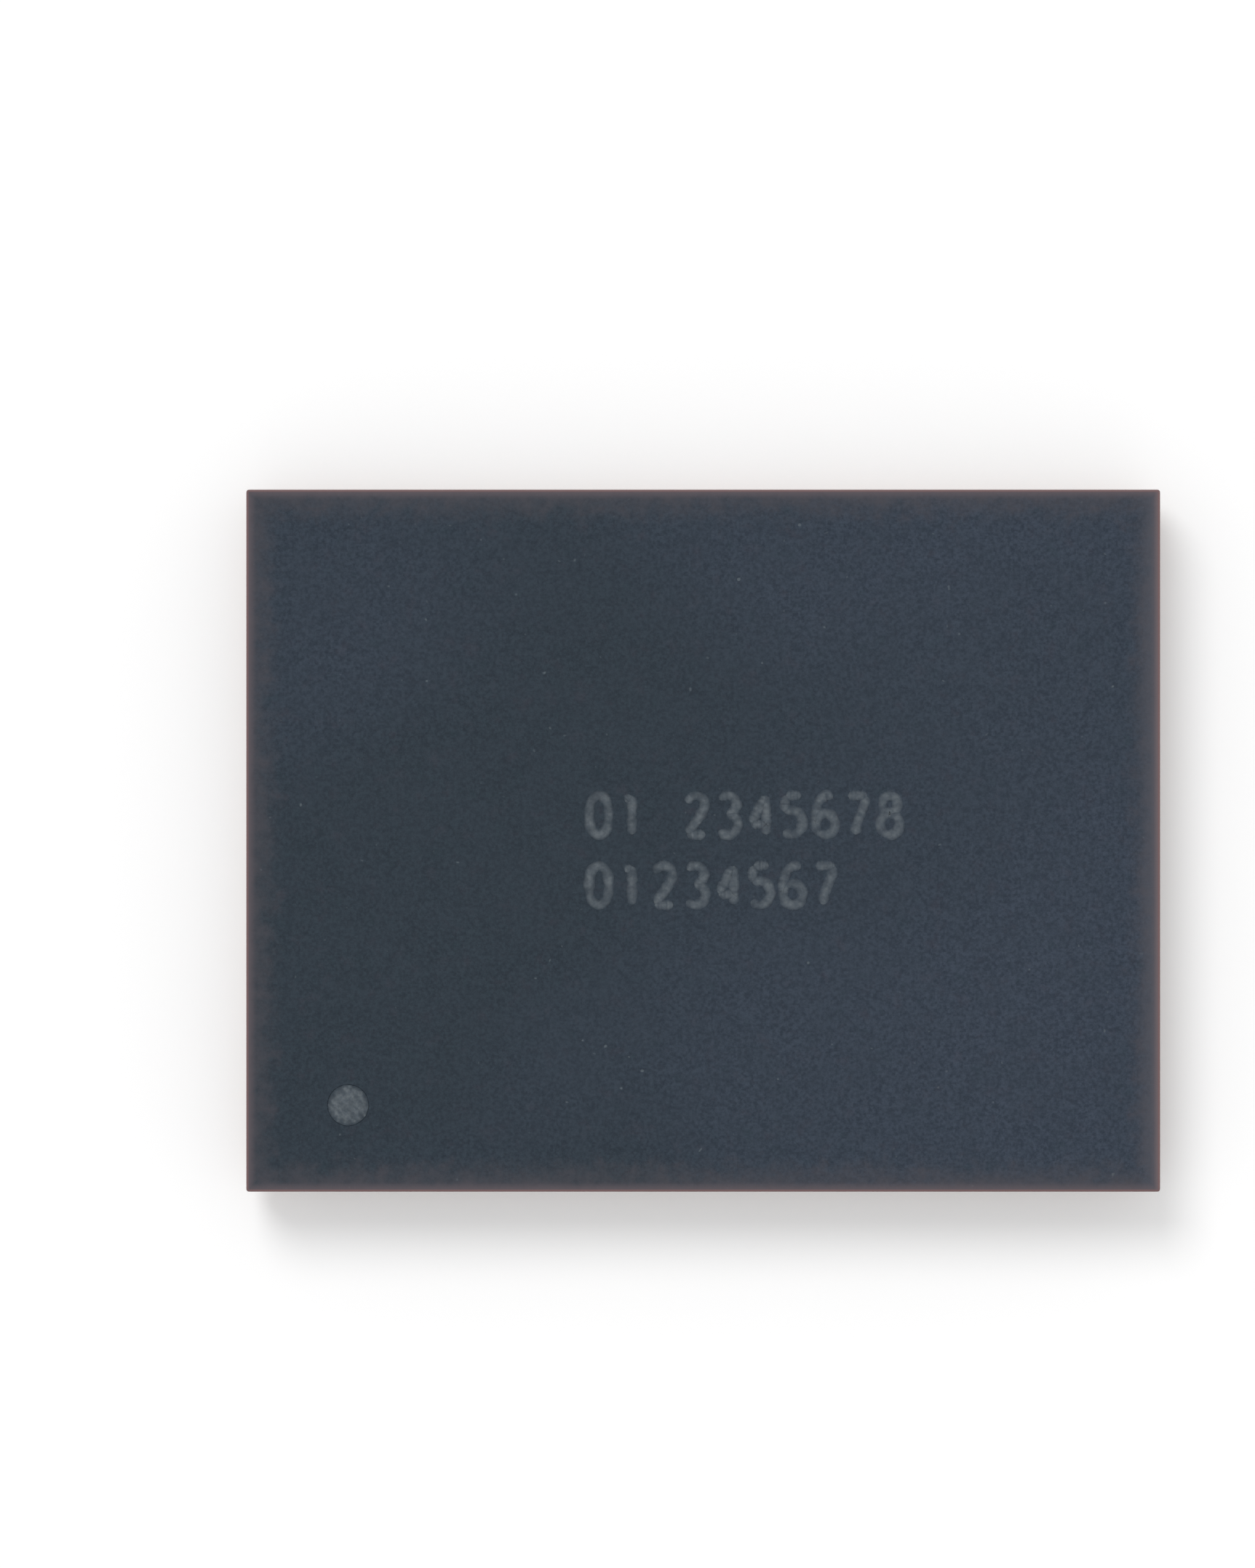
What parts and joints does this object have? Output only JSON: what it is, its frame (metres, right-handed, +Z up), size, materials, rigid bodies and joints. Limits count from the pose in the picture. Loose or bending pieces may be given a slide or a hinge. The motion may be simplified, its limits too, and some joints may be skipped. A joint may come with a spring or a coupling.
{
  "type": "ball grid array chip",
  "caption": "Wafer-level ball grid array chip: a dark-backed silicon die with copper redistribution traces and solder balls underneath.",
  "frame": {"origin": "plan centre of the die, in the plane of the solder ball tips", "axes": "+Z up out of the dark back of the die, away from the board; +X along the die's longer side; the pin-one dot is at -X, -Y"},
  "size_m": [0.0054, 0.0042, 0.0006],
  "materials": {
    "coating": "satin",
    "silicon": "satin",
    "circuit": "gloss",
    "ring_metal": "satin",
    "polyimide": "gloss",
    "copper": "satin",
    "solder": "satin"
  },
  "bodies": {
    "root": {"backside_coating": "coating", "silicon_die": "silicon", "circuit_layers": "circuit", "seal_ring": "ring_metal", "polyimide_film": "polyimide", "perimeter_bus": "copper", "supply_trunks": "copper", "signal_traces": "copper", "copper_pour": "copper", "return_band": "copper", "via_pads": "copper", "ball_row_a": "solder", "ball_row_b": "solder", "ball_row_c": "solder", "ball_row_d": "solder", "ball_row_e": "solder", "ball_row_f": "solder", "ball_row_g": "solder", "ball_row_h": "solder", "ball_row_j": "solder", "ball_row_k": "solder"}
  },
  "joints": []
}
